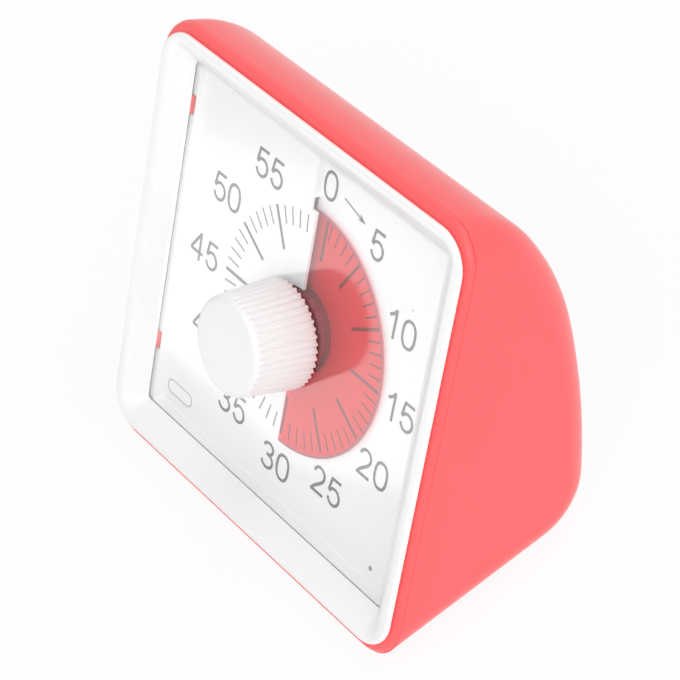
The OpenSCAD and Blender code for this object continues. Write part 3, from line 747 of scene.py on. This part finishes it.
dots = [np.stack([on_face(u + r * np.cos(oval), v + r * np.sin(oval), np.full(49, LENS_FRONT + 0.004))
                  for r in (0.01, size)]) for u, v, size in LENS_DOTS]
lens_dots = strips("lens_dots", dots)
dot_grey = moulding("dot_grey", (0.3, 0.3, 0.3), rough=0.5)
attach(finish(lens_dots, dot_grey), "case")
notches = [block("notch", (33.58 * s - 1, 33.58 * s + 1), (v - 1.75, v + 1.75), (2, 5)) for s, v in CLIPS]
carve(clear_window, peg("stem_hole", 0, 0, 5.2, 2, 5, 96), *notches)
clear, tree, shader = grained("clear_lens", (1, 1, 1), rough=0.12, size=400, height=0.0, spread=0.02, normal=False)
shader.inputs["Metallic"].default_value = 1
fresnel = tree.nodes.new("ShaderNodeFresnel")
fresnel.inputs["IOR"].default_value = 1.5
# twice the share in front, none on the back, and only for what the camera sees
front = maths(tree, "MULTIPLY_ADD", tree.nodes.new("ShaderNodeNewGeometry").outputs["Backfacing"], -2, 2)
seen = maths(tree, "MULTIPLY", front, tree.nodes.new("ShaderNodeLightPath").outputs["Is Camera Ray"])
share = maths(tree, "MULTIPLY", fresnel.outputs[0], seen)
mixed(tree, share, tree.nodes.new("ShaderNodeBsdfTransparent").outputs[0], shader.outputs[0])
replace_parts(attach(finish(clear_window, clear), "case"), "lens")


# ---- inside ---------------------------------------------------------------
# What the case holds: the movement, the cell and its contacts, the sounder,
# the volume switch and the screws. Drawn and stamped metal, moulded plastic, a
# copper winding, a lacquered board and the cell's printed wrap.
WORN = 0.1
INSIDE = (
    (moulding("steel", (0.62, 0.62, 0.63), rough=0.28, size=900, height=0.1, spread=0.15, edge=WORN, Metallic=1.0),
     "main_shaft contact_plate contact_spring clutch_washer rotor stator crystal case_screws movement_screws"),
    (moulding("brass", (0.72, 0.5, 0.2), rough=0.3, size=900, height=0.1, spread=0.15, edge=WORN, Metallic=1.0),
     "centre_wheel second_wheel"),
    (moulding("copper_winding", (0.62, 0.25, 0.1), rough=0.35, size=2500, height=0.5, edge=WORN, Metallic=1.0),
     "coil"),
    (moulding("black_plastic", (0.03, 0.03, 0.032), rough=0.45, height=0.1, edge=WORN),
     "battery_holder chip buzzer switch_body"),
    (moulding("movement_plastic", (0.62, 0.62, 0.6), rough=0.5, edge=WORN), "movement_front movement_back"),
    (moulding("board_green", (0.02, 0.16, 0.06), rough=0.35, size=1200, height=0.2, edge=WORN), "circuit_board"),
    (moulding("cell_wrap", (0.16, 0.24, 0.34), rough=0.3, size=800, edge=WORN), "battery"),
    (moulding("switch_white", (0.82, 0.82, 0.82), edge=WORN), "switch_slider"))
for stuff, names in INSIDE:
    for node in names.split():
        finish(frame["nodes"][node], stuff)


# ---- table, backdrop and lamps --------------------------------------------
# A pale floor that shows white to the camera and keeps the soft shadow, an
# even sky, and soft lamps at a plain level: key from the front right, fill from
# the right, one behind for the crown, and a low white card at the front left.
FLOOR_HALF, FLOOR_WHITE, SKY_LIGHT = 3, 0.9, 0.6
floor = surface("floor", FLOOR_HALF * line((-1, -1, 0), (1, -1, 0), (1, 1, 0), (-1, 1, 0)), [[0, 1, 2, 3]],
                outward=False)
pale = bpy.data.materials.new("pale_floor")
pale.use_nodes = True
tree = pale.node_tree
shader = tree.nodes["Principled BSDF"]
shader.inputs["Base Color"].default_value = (0.9, 0.9, 0.9, 1)
shader.inputs["Roughness"].default_value = 0.8


def looked_at(tree):
    """1 for what the camera sees, straight or by way of metal and glass."""
    path = tree.nodes.new("ShaderNodeLightPath").outputs
    mirrored = maths(tree, "MAXIMUM", path["Is Glossy Ray"], path["Is Transmission Ray"])
    return maths(tree, "MAXIMUM", path["Is Camera Ray"], mirrored)


mixed(tree, maths(tree, "MULTIPLY", looked_at(tree), FLOOR_WHITE), shader.outputs[0],
      tree.nodes.new("ShaderNodeEmission").outputs[0])
finish(floor, pale)

sky = bpy.data.worlds.new("sky")
bpy.context.scene.world = sky
sky.use_nodes = True
tree = sky.node_tree
strength = tree.nodes.new("ShaderNodeMapRange")
strength.inputs["To Min"].default_value, strength.inputs["To Max"].default_value = SKY_LIGHT, 1.0
tree.links.new(looked_at(tree), strength.inputs["Value"])
tree.nodes["Background"].inputs["Color"].default_value = (1, 1, 1, 1)
tree.links.new(strength.outputs[0], tree.nodes["Background"].inputs["Strength"])


def lamp(name, at, to, size, power):
    """A square soft lamp at a place in metres, facing a point."""
    data = bpy.data.lights.new(name, "AREA")
    data.shape, data.size, data.energy = "SQUARE", size, power
    made = bpy.data.objects.new(name, data)
    bpy.context.scene.collection.objects.link(made)
    back = np.array(at, float) - np.array(to, float)
    back /= np.linalg.norm(back)
    side = np.cross([0, 0, 1], back)
    side /= np.linalg.norm(side)
    made.matrix_world = stand(side, np.cross(back, side), back, at)
    return made


lamp("key", (0.5, -0.5, 0.75), (0, 0, 0.03), 0.5, 3.2)
lamp("fill", (0.8, -0.1, 0.35), (0, 0, 0.03), 0.6, 1.35)
lamp("crown", (0.15, 0.5, 0.9), (0, 0, 0.03), 0.6, 2.2)
# the card lies on the table and lights only the lens and other glossy faces
lamp("card", (-0.135, -0.165, 0.004), (-0.135, -0.1651, 1), 0.22, 0.16).visible_diffuse = False
